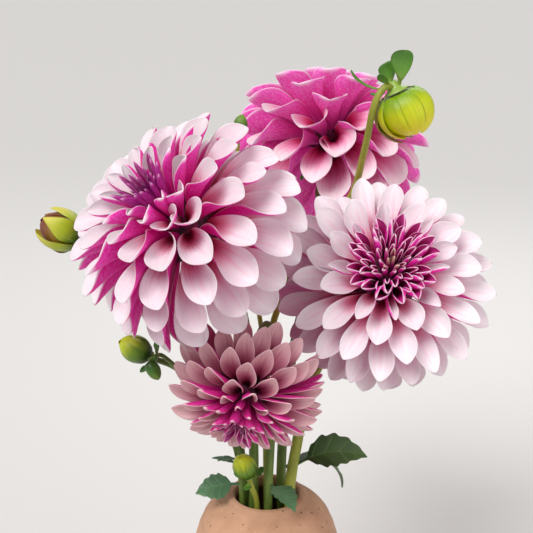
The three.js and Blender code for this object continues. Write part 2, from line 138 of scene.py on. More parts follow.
# Thin side shoots, each with a small green bud, by the stalk that they grow on.
SHOOTS = {
    "low_bud": dict(
        way=[(-50, 6, 226), (-57, 0, 237), (-63, -6, 244), (-68.5, -9.4, 242)], radius=1.3,
        bud=dict(centre=(-66, -10, 236), axis=(0.5, -0.1, -0.85), length=13, radius=4.6, scales=5),
    ),
    "top_bud": dict(
        way=[(0.6, 30.5, 220), (-6, 40, 262), (-14, 52, 312), (-18, 59, 348), (-17, 61, 362)], radius=1.5,
        bud=dict(centre=(-16, 62, 367), axis=(0.15, 0, 0.98), length=13, radius=4.8, scales=5),
    ),
}

# Leaves by the stalk that they grow on: where from, then degrees for heading, pitch, droop and tilt.
LEAVES = {
    "right": [dict(at=(16.5, -1, 168), heading=2, pitch=38, droop=62, length=48, width=11, tilt=-48)],
    "back": [dict(at=(9, 11, 158), heading=14, pitch=46, droop=138, length=57, width=8)],
    "low": [dict(at=(1.4, -6, 158), heading=300, pitch=20, droop=50, length=32, width=8)],
    "low_bud": [
        dict(at=(-15.6, -2.6, 157), heading=192, pitch=10, droop=34, length=29, width=9, tilt=40),
        dict(at=(-17.2, -1.8, 170), heading=170, pitch=25, droop=30, length=17, width=3.4, teeth=3),
        dict(at=(-17.4, -1.6, 173), heading=205, pitch=30, droop=40, length=14, width=3.6, teeth=3),
    ],
}


# -------- node trees written as arithmetic


def feed(socket, value):
    """Sets a socket, or links it where the value is a field, a socket or a node with one result."""
    if isinstance(value, Field):
        value = value.socket
    if isinstance(value, bpy.types.Node):
        value = value.outputs[0]
    if isinstance(value, bpy.types.NodeSocket):
        socket.id_data.links.new(value, socket)
    else:
        socket.default_value = value


def add_node(tree, kind, inputs=None, **settings):
    node = tree.nodes.new(kind)
    for name, value in settings.items():
        setattr(node, name, value)
    for name, value in (inputs or {}).items():
        feed(node.inputs[name], value)
    return node


def operator(operation):
    """A method that works the operation out in a math node."""
    def method(self, *others):
        return self.math(operation, *others)
    return method


class Field:
    """A value in a node tree, for writing a shape or a pattern as a formula."""

    def __init__(self, socket):
        self.socket = socket

    @property
    def tree(self):
        return self.socket.id_data

    def math(self, operation, *others):
        node = add_node(self.tree, "ShaderNodeMath", operation=operation)
        for socket, value in zip(node.inputs, (self, *others)):
            feed(socket, value)
        return Field(node.outputs[0])

    __abs__ = operator("ABSOLUTE")
    __add__ = __radd__ = operator("ADD")
    __sub__ = operator("SUBTRACT")
    __mul__ = __rmul__ = operator("MULTIPLY")
    __truediv__ = operator("DIVIDE")
    __pow__ = operator("POWER")

    def __rsub__(self, other):
        return (self * -1) + other

    def __rtruediv__(self, other):
        return (self ** -1) * other


def sine(value):
    return value.math("SINE")


def cosine(value):
    return value.math("COSINE")


def mix(first, second, share):
    return (second - first) * share + first


def smooth(value, low, high):
    """0 up to low, 1 from high, and an even curve between them."""
    sizes = {"Value": value, "From Min": low, "From Max": high}
    node = add_node(value.tree, "ShaderNodeMapRange", sizes, interpolation_type="SMOOTHSTEP")
    return Field(node.outputs["Result"])


def bell(value, width):
    """1 where the value is nought, falling off to both sides within the width."""
    return 1 / ((value / width) ** 2 + 1)


def vector(x, y, z):
    tree = next(value.tree for value in (x, y, z) if isinstance(value, Field))
    return Field(add_node(tree, "ShaderNodeCombineXYZ", {"X": x, "Y": y, "Z": z}).outputs[0])


SOCKETS = {float: "NodeSocketFloat", int: "NodeSocketInt", "geometry": "NodeSocketGeometry",
           "material": "NodeSocketMaterial", "colour": "NodeSocketColor", "vector": "NodeSocketVector"}


def floats(*labels):
    return dict.fromkeys(labels, float)


def make_tree(name, inputs, outputs, kind="GeometryNodeTree"):
    """A tree with its group nodes: (tree, fields of its inputs by name, its output node)."""
    tree = bpy.data.node_groups.new(name, kind)
    for label, form in inputs.items():
        tree.interface.new_socket(name=label, in_out="INPUT", socket_type=SOCKETS[form])
    for label, form in outputs.items():
        tree.interface.new_socket(name=label, in_out="OUTPUT", socket_type=SOCKETS[form])
    entry = tree.nodes.new("NodeGroupInput")
    fields = {label: Field(entry.outputs[label]) for label in inputs}
    return tree, fields, tree.nodes.new("NodeGroupOutput")


# -------- geometry trees

# How much the blades of one whorl differ in length, in the fuller margin and in sideways sway.
LENGTH_SPREAD = 0.03
LOPSIDED_SPREAD = 0.24
SWAY_SPREAD = 0.05
NOTCH = 0.13  # how deep a leaf is cut between its teeth, as a share of its width

# A whorl's sizes: those given for its first and its last blade, those that are lengths, and those of
# a blade's outline, which tapers to its root, stays full and comes to a point.
PAIRS = ("Angle", "Reach", "Width", "Roll", "Curl")
ENDS = ("First ", "Last ")
LENGTHS = ("Start", "Reach", "Width", "Crease", "Wave", "Thickness")
SHAPE = ("Taper", "Fullness", "Point")
MESH = {"Geometry": "geometry"}


def named(tree, name):
    node = add_node(tree, "GeometryNodeInputNamedAttribute", {"Name": name}, data_type="FLOAT")
    return Field(node.outputs["Attribute"])


def store(geometry, name, value):
    """The geometry with the value kept on its points, for the finish to read."""
    sizes = {"Geometry": geometry, "Name": name, "Value": value}
    node = add_node(geometry.id_data, "GeometryNodeStoreNamedAttribute", sizes, data_type="FLOAT")
    return node.outputs["Geometry"]


def chance(tree, number, spread, seed):
    """A random amount for each numbered blade, up to the spread to either side of nought."""
    node = add_node(tree, "FunctionNodeRandomValue", {"ID": number, "Seed": seed}, data_type="FLOAT")
    return mix(-spread, spread, Field(node.outputs[1]))


def wrap_blade():
    """Bends a flat blade into its shape. Along runs from root to tip, across from margin to margin,
    and facing is 1 on the face, -1 on the reverse and 0 on the rim. Angles are in degrees."""
    tree, size, result = make_tree("wrap_blade", floats(
        "Along", "Across", "Facing", "Turn", "Start", "Angle", "Bend", "Length", "Half Width", "Roll",
        "Lopsided", "Twist", "Sway", "Relief", "Thickness",
    ), {"Position": "vector"})
    along, across = size["Along"], size["Across"]

    roll = size["Roll"] * DEGREE
    radius = size["Half Width"] / roll * (0.1 * across + 1)
    lean = roll * across * (size["Lopsided"] * across + 1)
    raised = size["Facing"] * size["Thickness"] * 0.5 + size["Relief"]
    flat_x = radius * sine(lean) - raised * sine(lean)
    flat_y = radius * (1 - cosine(lean)) + raised * cosine(lean)
    twist = size["Twist"] * DEGREE
    x = flat_x * cosine(twist) - flat_y * sine(twist) + size["Sway"] * size["Length"] * along ** 2
    y = flat_x * sine(twist) + flat_y * cosine(twist)

    angle = size["Angle"] * DEGREE
    bend = size["Bend"] * DEGREE
    heading = bend * along + angle
    arc = size["Length"] / bend
    outward = size["Start"] * sine(angle) + arc * (cosine(angle) - cosine(heading)) - y * cosine(heading)
    upward = size["Start"] * cosine(angle) + arc * (sine(heading) - sine(angle)) + y * sine(heading)
    turn = size["Turn"] * DEGREE
    place = vector(outward * cosine(turn) - x * sine(turn), outward * sine(turn) + x * cosine(turn), upward)
    feed(result.inputs["Position"], place)
    return tree


def point_place(tree):
    """The fields x, y and z of a point's place."""
    spot = add_node(tree, "GeometryNodeInputPosition")
    axes = add_node(tree, "ShaderNodeSeparateXYZ", {"Vector": spot})
    return (Field(axes.outputs[name]) for name in "XYZ")


def blank_blades(tree, count, around, steps):
    """Loose tubes, numbered in the attribute number, and their fields along, across and facing."""
    points = add_node(tree, "GeometryNodePoints", {"Count": count})
    points = store(points, "number", add_node(tree, "GeometryNodeInputIndex"))
    tube = add_node(tree, "GeometryNodeMeshCylinder", {
        "Vertices": around, "Side Segments": steps, "Radius": 1.0, "Depth": 1.0,
    }, fill_type="NONE")
    copies = add_node(tree, "GeometryNodeInstanceOnPoints", {"Points": points, "Instance": tube})
    blades = add_node(tree, "GeometryNodeRealizeInstances", {"Geometry": copies})
    x, y, z = point_place(tree)
    even = z + 0.5
    along = mix(even, sine(even * (math.pi / 2)), 0.6)
    geometry = store(blades, "along", along.math("MINIMUM", 1.0).math("MAXIMUM", 0.0))
    geometry = store(store(geometry, "across", x), "facing", y)
    return geometry, {name: named(tree, name) for name in ("number", "along", "across", "facing")}


def dress(tree, geometry, material, result):
    """Smooths the shading and gives the finish, as the last steps of a tree."""
    smoothed = add_node(tree, "GeometryNodeSetShadeSmooth", {"Geometry": geometry})
    whole = add_node(tree, "GeometryNodeRealizeInstances", {"Geometry": smoothed})
    dressed = add_node(tree, "GeometryNodeSetMaterial", {"Geometry": whole, "Material": material})
    feed(result.inputs["Geometry"], dressed)


def finish_blades(tree, geometry, position, material, result):
    """Moves the points to their places, closes each blade at root and tip and gives it its finish."""
    placed = add_node(tree, "GeometryNodeSetPosition", {"Geometry": geometry, "Position": position})
    closed = add_node(tree, "GeometryNodeMergeByDistance", {"Geometry": placed, "Distance": 0.002 * MM})
    dress(tree, closed, material, result)


def whorl_tree(wrap):
    """Petals or bracts that spring from a centre one after another, each a fixed turn on."""
    tree, size, result = make_tree("whorl", {
        "Count": int, "Around": int, "Steps": int, "Material": "material",
    } | floats(
        *(end + label for label in PAIRS for end in ENDS), *SHAPE, "Skip", "Step", "Spin", "Start",
        "Crowding", "Jitter", "Reach By", "Grown By", "Root Roll", "Opens From", "Opens By", "Lopsided",
        "Turned", "Sags", "Sags At", "Settles", "Twist", "Crease", "Wave", "Thickness",
    ), MESH)
    geometry, at = blank_blades(tree, size["Count"], size["Around"], size["Steps"])
    number, along, across = at["number"], at["along"], at["across"]
    taper, fullness, point = (size[label] for label in SHAPE)

    def between(label, share):
        """From the first blade's value to the last one's."""
        return mix(*(size[end + label] for end in ENDS), share)

    # Sines of the number times an uneven factor keep the blades from being alike.
    place = (number + 0.5) / size["Count"]
    grown = smooth(place, 0.0, size["Grown By"])
    wobble = sine(number * 12.9898) * size["Jitter"]
    length = between("Reach", smooth(place, 0.0, size["Reach By"])) - size["Start"]
    widest = taper / (taper + fullness * point)
    full = widest ** (taper / fullness) * (1 - widest) ** point
    outline = along ** taper * (1 - along ** fullness) ** point / full
    opened = smooth(along, size["Opens From"], size["Opens By"])
    ribs = cosine(across * 10.5) * bell(across, 0.45) * -1
    wave = sine(along * 9 + number) * across ** 2 * size["Wave"]
    turn = (size["Skip"] + number) * size["Step"] + size["Spin"] + 2 * sine(number * 7.233)
    lean = cosine((turn - size["Sags At"]) * DEGREE) * size["Sags"] + size["Turned"]
    lean = lean * smooth(along, 0.0, 0.4) * (1 - size["Settles"] * smooth(along, 0.55, 1.0))
    wrapped = add_node(tree, "GeometryNodeGroup", {
        "Along": along, "Across": across, "Facing": at["facing"], "Start": size["Start"], "Turn": turn,
        "Angle": between("Angle", place ** size["Crowding"]) + wobble,
        "Bend": between("Curl", place),
        "Length": length * (sine(number * 4.7) * LENGTH_SPREAD + 1),
        "Half Width": between("Width", grown) * outline,
        "Roll": mix(size["Root Roll"], between("Roll", grown), opened),
        "Relief": (ribs * size["Crease"] + wave) * sine(along * math.pi),
        "Lopsided": chance(tree, number, LOPSIDED_SPREAD, 1) + size["Lopsided"],
        "Twist": chance(tree, number, 1, 2) * size["Twist"] * along + lean,
        "Sway": chance(tree, number, SWAY_SPREAD, 3),
        "Thickness": size["Thickness"] * smooth(outline, 0.0, 0.3),
    }, node_tree=wrap)
    finish_blades(tree, store(geometry, "age", place), wrapped, size["Material"], result)
    return tree


def leaf_tree(wrap):
    """One toothed leaf on its short stalk."""
    tree, size, result = make_tree("leaf", floats(
        "Turn", "Angle", "Droop", "Tilt", "Length", "Width", "Stalk", "Stalk Width", "Teeth", "Thickness",
    ) | {"Material": "material"}, MESH)
    geometry, at = blank_blades(tree, 1, 20, 90)
    along, across = at["along"], at["across"]
    inner = ((along - size["Stalk"]) / (1 - size["Stalk"])).math("MAXIMUM", 0.0)
    teeth = inner * (size["Teeth"] + 0.6)
    tooth = teeth.math("FRACT")
    serrated = 1 - NOTCH * smooth(tooth, 0.72, 1.0) - NOTCH * (1 - smooth(tooth, 0.0, 0.7))
    full = sine((inner ** 0.75 * math.pi).math("MINIMUM", math.pi)) * size["Width"] * serrated
    stem = size["Stalk Width"] * (1 - smooth(along, size["Stalk"], 1.0))
    half_width = (full.math("MAXIMUM", stem) * smooth(along, -0.02, 0.01)).math("MAXIMUM", 0.0)
    side_ribs = sine((teeth - abs(across) * 0.9) * (2 * math.pi))
    relief = (side_ribs * 0.12 * abs(across) - bell(across, 0.1) * 0.35) * MM * smooth(inner, 0.0, 0.2)
    thickness = mix(size["Stalk Width"] * 1.6, size["Thickness"], smooth(along, 0.1, 0.35))
    wrapped = add_node(tree, "GeometryNodeGroup", {
        "Along": along, "Across": across, "Facing": at["facing"], "Turn": size["Turn"],
        "Angle": size["Angle"], "Bend": size["Droop"], "Length": size["Length"],
        "Half Width": half_width, "Roll": 24.0, "Twist": size["Tilt"] * smooth(along, 0.0, 0.4),
        "Relief": relief, "Thickness": thickness * smooth(half_width, 0.0, 0.6 * MM),
    }, node_tree=wrap)
    finish_blades(tree, geometry, wrapped, size["Material"], result)
    return tree


def stem_tree():
    """A round stem along a line of points, a little thicker at its foot and at each joint."""
    tree, size, result = make_tree("stem", {
        "Line": "geometry", "Radius": float, "Joints": float, "Swelling": float, "Material": "material",
    }, MESH)
    line = add_node(tree, "GeometryNodeMeshToCurve", {"Mesh": size["Line"]})
    along = Field(add_node(tree, "GeometryNodeSplineParameter").outputs["Factor"])
    joint = bell((along * size["Joints"]).math("FRACT") - 0.5, 0.035)
    radius = size["Radius"] * (joint * size["Swelling"] + 1.02 - 0.06 * along)
    ring = add_node(tree, "GeometryNodeCurvePrimitiveCircle", {"Resolution": 18, "Radius": 1.0})
    tube = add_node(tree, "GeometryNodeCurveToMesh", {
        "Curve": line, "Profile Curve": ring, "Scale": radius, "Fill Caps": True,
    })
    dress(tree, store(tube, "along", along), size["Material"], result)
    return tree


def bud_tree():
    """The plain body inside a bud's scales, flat where it meets its stalk."""
    tree, size, result = make_tree("bud", {
        "Radius": float, "Length": float, "Material": "material",
    }, MESH)
    ball = add_node(tree, "GeometryNodeMeshUVSphere", {"Segments": 48, "Rings": 24, "Radius": 1.0})
    x, y, z = point_place(tree)
    height = z.math("MAXIMUM", -BUD_SEAT)
    wide = size["Radius"] * (1 - 0.1 * height)
    geometry = store(ball, "along", height * 0.5 + 0.5)
    geometry = store(geometry, "facing", -1.0)
    place = vector(x * wide, y * wide, height * size["Length"] * 0.5)
    finish_blades(tree, geometry, place, size["Material"], result)
    return tree


WRAP = wrap_blade()
TREES = {"whorl": whorl_tree(WRAP), "leaf": leaf_tree(WRAP), "stem": stem_tree(), "bud": bud_tree()}


def add_object(name, data):
    made = bpy.data.objects.new(name, data)
    bpy.context.scene.collection.objects.link(made)
    return made


def grow(kind, values, line=None):
    """The plain mesh that a tree of this kind makes with these values."""
    tree = TREES[kind]
    carrier = add_object("carrier", line or bpy.data.meshes.new("line"))
    modifier = carrier.modifiers.new("grow", "NODES")
    modifier.node_group = tree
    for item in tree.interface.items_tree:
        if item.in_out == "INPUT" and item.name in values:
            modifier[item.identifier] = values[item.name]
    bpy.context.view_layer.update()
    evaluated = carrier.evaluated_get(bpy.context.evaluated_depsgraph_get())
    mesh = bpy.data.meshes.new_from_object(evaluated)
    bpy.data.objects.remove(carrier)
    return mesh


# What the blades of a whorl have unless they are given something else.
PLAIN_WHORL = dict(skip=0, crowding=1, jitter=0, reach_by=1, grown_by=1, opens_from=0, opens_by=0.6,
                   lopsided=0, turned=0)


def whorl(material, count, around, steps, shape, **sizes):
    """The mesh of a whorl. Lengths are in millimetres and angles in degrees, shape is a blade's taper,
    fullness and point, and a size of the pairs is two values where first and last blade differ."""
    values = {"Count": count, "Around": around, "Steps": steps, "Material": material}
    values |= zip(SHAPE, map(float, shape))
    for name, size in (PLAIN_WHORL | sizes).items():
        label = name.replace("_", " ").title()
        unit = MM if label in LENGTHS else 1
        if label in PAIRS:
            ends = size if isinstance(size, tuple) else (size, size)
            values |= {end + label: float(value * unit) for end, value in zip(ENDS, ends)}
        else:
            values[label] = float(size * unit)
    return grow("whorl", values)


# -------- finishes

FINISH = {"Color": "colour", "Roughness": float, "Height": float}
NEVER = 0.0001  # so small a share of a whorl that none of its blades falls in it


def colour(red, green, blue):
    """A colour given as it is seen, 0 to 255, as the light it reflects."""
    def linear(value):
        share = value / 255
        return share / 12.92 if share <= 0.04045 else ((share + 0.055) / 1.055) ** 2.4
    return (linear(red), linear(green), linear(blue), 1.0)


def blend(first, second, share):
    """A colour between two colours."""
    node = add_node(share.tree, "ShaderNodeMix", data_type="RGBA")
    for index, value in zip((0, 6, 7), (share, first, second)):
        feed(node.inputs[index], value)
    return Field(node.outputs[2])


def read(tree, *names):
    """Fields of what is kept on the points, in the order of the names."""
    nodes = [add_node(tree, "ShaderNodeAttribute", attribute_name=name) for name in names]
    return [Field(node.outputs["Fac"]) for node in nodes]


def noise(place, scale, detail=2.0, roughness=0.5):
    sizes = {"Vector": place, "Scale": scale, "Detail": detail, "Roughness": roughness}
    return Field(add_node(place.tree, "ShaderNodeTexNoise", sizes).outputs["Fac"])


def object_place(tree):
    return Field(add_node(tree, "ShaderNodeTexCoord").outputs["Object"])


def stretched(place, scale):
    """A place on the object with each axis scaled, for grain that runs one way."""
    return Field(add_node(place.tree, "ShaderNodeMapping", {"Vector": place, "Scale": scale}).outputs[0])


def petal_finish():
    """Colour and relief of a petal: veins, a pale rim, a blush and painted shade from the root, and the
    reverse.
    """
    colours = ("Tip", "Middle", "Root", "Hollow", "Reverse", "Reverse Light", "Rim", "Newest")
    amounts = floats("Newest By", "Blush", "Vein", "Margin")
    inputs = dict.fromkeys(colours, "colour") | amounts
    tree, look, result = make_tree("petal_finish", inputs, FINISH, "ShaderNodeTree")
    along, across, facing, number, age = read(tree, "along", "across", "facing", "number", "age")
    streaks = noise(vector(along * 1.6, across * 13, number * 7.31), 1.0, 3.0, 0.6)
    veins = noise(vector(along * 1.1, across * 34, number * 3.77), 1.0, 1.0)
    mottle = noise(vector(along * 26, across * 14, number * 5.13), 1.0, 3.0, 0.65)
    vein = smooth(veins, 0.54, 0.7)
    margin = abs(across)

    reach = along + (streaks - 0.5) * 0.34 + (chance_of(number) - 0.5) * 0.12 - look["Blush"]
    face = blend(look["Root"], look["Middle"], smooth(reach, -0.22, 0.12))
    face = blend(face, look["Tip"], smooth(reach, 0.02, 0.34))
    keel = bell(across, 0.05) * (1 - smooth(along, 0.72, 0.98)) + 0.5 * bell(margin - 0.42, 0.04)
    face = blend(face, look["Middle"], (keel * 0.34 + vein * 0.24) * look["Vein"] * smooth(along, 0.1, 0.3))
    # Painted shade: each petal turns to a dark colour at its root, where it lies deep among the others.
    face = blend(look["Hollow"], face, smooth(along + (streaks - 0.5) * 0.1, 0.12, 0.36))

    speckle = smooth(mottle, 0.42, 0.68) * 0.5 + vein * 0.35
    back = blend(look["Reverse"], look["Reverse Light"], speckle * smooth(along, 0.1, 0.8))
    edge = smooth(margin + (streaks - 0.5) * 0.12, 1 - look["Margin"], 1.0)
    tip = smooth(along, 0.9, 1.0)
    back = blend(back, look["Rim"], edge.math("MAXIMUM", tip) * 0.85)

    side = smooth(facing, -0.12, 0.12)
    shown = blend(back, face, side)
    rim = (1 - smooth(abs(facing), 0.06, 0.2)) * smooth(along, 0.18, 0.4)
    shown = blend(shown, look["Rim"], rim * 0.9)
    newest = 1 - smooth(age, 0.0, look["Newest By"])
    shown = blend(shown, look["Newest"], newest * smooth(along, 0.6, 0.95) * 0.8)
    feed(result.inputs["Color"], shown)
    feed(result.inputs["Roughness"], 0.5 + 0.14 * streaks - 0.06 * side)
    feed(result.inputs["Height"], veins * 0.7 + streaks * 0.5)
    return tree


def chance_of(number):
    """A share that differs from one numbered blade to the next."""
    return (number * 0.6180339).math("FRACT")


def material_with(name, roughness=0.5, **constants):
    """A material and its shader, with what is the same all over set on the shader itself."""
    material = bpy.data.materials.new(name)
    material.use_nodes = True
    shader = material.node_tree.nodes["Principled BSDF"]
    shader.inputs["Roughness"].default_value = roughness
    for label, value in constants.items():
        shader.inputs[label.replace("_", " ")].default_value = value
    return material, material.node_tree, shader


def join_finish(tree, shader, shown, roughness, height, depth):
    """Feeds a shader its colour, its roughness and relief of that depth in millimetres."""
    feed(shader.inputs["Base Color"], shown)
    feed(shader.inputs["Roughness"], roughness)
    relief = add_node(tree, "ShaderNodeBump", {"Strength": 1.0, "Distance": depth * MM, "Height": height})
    feed(shader.inputs["Normal"], relief)


def place_finish(tree, finish, values):
    """A shared finish placed in a material with values of its own, of which the triples are colours."""
    inputs = {label: colour(*value) if isinstance(value, tuple) else value for label, value in values.items()}
    return add_node(tree, "ShaderNodeGroup", inputs, node_tree=finish)


def petal_material(name, finish, colours, blush, vein=1.0, margin=0.12, newest=NEVER):
    material, tree, shader = material_with(
        name, Subsurface_Weight=0.12, Subsurface_Scale=1.2 * MM, Subsurface_Radius=(1.0, 0.45, 0.6),
    )
    amounts = {"Blush": blush, "Vein": vein, "Margin": margin, "Newest By": newest}
    group = place_finish(tree, finish, colours | amounts)
    join_finish(tree, shader, *group.outputs, 0.12)
    return material


def fresh_green():
    """Living green: a slow drift of hue, fine lengthwise fibres and small pale pores."""
    tree, look, result = make_tree("fresh_green", {
        "Light": "colour", "Dark": "colour", "Place": "vector", "Fibre": float,
    }, FINISH, "ShaderNodeTree")
    place = look["Place"]
    drift = noise(place, 22.0, 2.0)
    fibres = noise(stretched(place, (1.0, 1.0, 0.05)), 900.0, 2.0)
    pores = noise(place, 1500.0, 1.0)
    shade = smooth(drift, 0.34, 0.66) * 0.7 + smooth(fibres, 0.4, 0.7) * 0.3 * look["Fibre"]
    shown = blend(look["Dark"], look["Light"], shade)
    shown = blend(shown, look["Light"], smooth(pores, 0.62, 0.72) * 0.35)
    feed(result.inputs["Color"], shown)
    feed(result.inputs["Roughness"], 0.36 + 0.2 * drift)
    feed(result.inputs["Height"], fibres * look["Fibre"] + pores * 0.3)
    return tree


def green_material(name, finish, light, dark):
    material, tree, shader = material_with(name, Subsurface_Weight=0.08, Subsurface_Scale=1.2 * MM)
    group = place_finish(tree, finish, {
        "Place": object_place(tree), "Light": light, "Dark": dark, "Fibre": 1.0,
    })
    join_finish(tree, shader, *group.outputs, 0.06)
    return material


def leaf_material(name, finish, light, dark, reverse, teeth):
    """A leaf's blade with its midrib, side ribs and paler reverse."""
    material, tree, shader = material_with(name, Subsurface_Weight=0.06, Subsurface_Scale=1.0 * MM)
    group = place_finish(tree, finish, {"Place": object_place(tree), "Light": light, "Dark": dark})
    along, across, facing = read(tree, "along", "across", "facing")
    ribs = (along * teeth - abs(across) * 0.75).math("FRACT") - 0.5
    rib = bell(ribs, 0.05) * (1 - smooth(abs(across), 0.7, 0.95)) + bell(across, 0.06)
    shown = blend(Field(group.outputs["Color"]), colour(*light), rib.math("MINIMUM", 1.0) * 0.5)
    shown = blend(colour(*reverse), shown, smooth(facing, -0.15, 0.15))
    height = Field(group.outputs["Height"]) * 0.3 - rib
    join_finish(tree, shader, shown, group.outputs["Roughness"], height, 0.25)
    return material


def bud_material(name, foot, light, tip, edge):
    """A bud's wrapped scales: green at the foot, brighter to the tip, with fine lengthwise lines."""
    material, tree, shader = material_with(name, Subsurface_Weight=0.15, Subsurface_Scale=2 * MM)
    along, across, number = read(tree, "along", "across", "number")
    streaks = noise(vector(along * 1.3, across * 9, number * 5.3), 1.0, 3.0, 0.6)
    lines = noise(vector(along * 0.9, across * 34, number * 2.7), 1.0, 1.0)
    reach = along + (streaks - 0.5) * 0.3 + (chance_of(number) - 0.5) * 0.12
    shown = blend(colour(*foot), colour(*light), smooth(reach, 0.06, 0.44))
    shown = blend(shown, colour(*tip), smooth(reach, 0.4, 0.86))
    shown = blend(shown, colour(*edge), smooth(lines, 0.5, 0.72) * 0.3)
    shown = blend(shown, colour(*edge), smooth(abs(across), 0.86, 1.0) * 0.7)
    join_finish(tree, shader, shown, 0.3 + 0.2 * streaks, lines * 0.6 + streaks, 0.16)
    return material


def stoneware_material():
    """Unglazed tan clay: clouded tone, fine grog, dark iron specks and faint throwing lines."""
    material, tree, shader = material_with("stoneware")
    place = object_place(tree)
    clouds = noise(place, 14.0, 4.0, 0.6)
    grain = noise(place, 420.0, 3.0, 0.7)
    specks = noise(place, 260.0, 1.0)
    lines = noise(stretched(place, (0.04, 0.04, 1.0)), 240.0, 2.0)
    shown = blend(colour(160, 115, 84), colour(206, 160, 129), smooth(clouds, 0.3, 0.7))
    shown = blend(shown, colour(222, 184, 154), smooth(grain, 0.58, 0.75) * 0.5)
    shown = blend(shown, colour(92, 62, 44), smooth(specks, 0.68, 0.74) * 0.8)
    shown = blend(shown, colour(150, 106, 78), smooth(lines, 0.55, 0.7) * 0.25)
    height = grain * 0.5 + lines * 0.5 - smooth(specks, 0.68, 0.74) * 0.3
    join_finish(tree, shader, shown, 0.62 + 0.25 * grain, height, 0.25)
    return material


def water_material():
    """Clear water with a faint ripple."""
    material, tree, shader = material_with("water", 0.03, Transmission_Weight=1.0, IOR=1.333)
    join_finish(tree, shader, colour(226, 238, 232), 0.03, noise(object_place(tree), 60.0, 1.0), 0.3)
    return material


def heart_shade_material():
    """The inside of a head, where the petals spring, near black as painted shade of its depths."""
    material, tree, shader = material_with("heart", 0.7)
    cloud = noise(object_place(tree), 300.0, 2.0)
    # Painted shade: near black to deep magenta, for the shadowed depths between the petals.
    shown = blend(colour(48, 4, 24), colour(120, 18, 72), smooth(cloud, 0.35, 0.7))
    join_finish(tree, shader, shown, 0.7, cloud, 0.3)
    return material


# -------- placing pieces


def axes_at(growth):
    """The matrix from the own axes of a head or bud, on its centre and along its axis, to the object's."""
    up = Vector(growth["axis"]).normalized()
    first = UP.cross(up).normalized()
    second = up.cross(first)
    turn = Matrix((first, second, up)).transposed().to_4x4()
    return Matrix.Translation(Vector(growth["centre"]) * MM) @ turn


def raised(mesh, height):
    """The mesh moved up its own axis by millimetres."""
    mesh.transform(Matrix.Translation((0, 0, height * MM)))
    return mesh


def piece(name, mesh, nodes, matrix=None):
    """A finished piece in the object's frame that stands for these CAD nodes."""
    if matrix:
        mesh.transform(matrix)
    mesh.name = name
    made = add_object(name, mesh)
    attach(made, "root")
    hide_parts(*nodes)


def joined(meshes):
    """Several meshes as one."""
    parts = [add_object("part", mesh) for mesh in meshes]
    with bpy.context.temp_override(active_object=parts[0], selected_editable_objects=parts):
        bpy.ops.object.join()
    mesh = parts[0].data
    bpy.data.objects.remove(parts[0])
    return mesh


def turned(profile, segments, material):
    """A closed solid turned about Z from (radius, height) points that start and end on the axis."""
    turns = 2 * math.pi * np.arange(segments) / segments
    inner = profile[1:-1]
    points = [(0, 0, profile[0][1] * MM)]
    points += [(r * MM * math.cos(t), r * MM * math.sin(t), z * MM) for r, z in inner for t in turns]
    points.append((0, 0, profile[-1][1] * MM))
    faces = []
    for step in range(segments):
        after = (step + 1) % segments
        faces.append((0, 1 + after, 1 + step))
        for ring in range(len(inner) - 1):
            low, high = 1 + ring * segments, 1 + (ring + 1) * segments
            faces.append((low + step, low + after, high + after, high + step))
        last = 1 + (len(inner) - 1) * segments
        faces.append((last + step, last + after, len(points) - 1))
    mesh = bpy.data.meshes.new("turned")
    mesh.from_pydata(points, [], faces)
    mesh.shade_smooth()
    mesh.materials.append(material)
    return mesh


# Knot spans of the pyramid that works a Catmull-Rom point out, level by level.
SPANS = {1: [(0, 1), (1, 2), (2, 3)], 2: [(0, 2), (1, 3)], 3: [(1, 2)]}


def rounded(points, steps=6):
    """A smooth line through the points, by a centripetal Catmull-Rom curve."""
    points = [Vector(point) for point in points]
    ends = [2 * points[0] - points[1], *points, 2 * points[-1] - points[-2]]
    line = []
    for before, start, stop, after in zip(ends, ends[1:], ends[2:], ends[3:]):
        knots = [0.0]
        for one, two in ((before, start), (start, stop), (stop, after)):
            knots.append(knots[-1] + max((two - one).length, 1e-6) ** 0.5)
        for step in range(steps):
            t = knots[1] + (knots[2] - knots[1]) * step / steps
            layer = [before, start, stop, after]
            for depth in (1, 2, 3):
                layer = [
                    layer[i].lerp(layer[i + 1], (t - knots[lower]) / (knots[upper] - knots[lower]))
                    for i, (lower, upper) in enumerate(SPANS[depth])
                ]
            line.append(layer[0])
    return [*line, points[-1]]


def line_mesh(points):
    mesh = bpy.data.meshes.new("line")
    places = [tuple(point * MM) for point in points]
    mesh.from_pydata(places, [(i, i + 1) for i in range(len(points) - 1)], [])
    return mesh


# -------- blooms


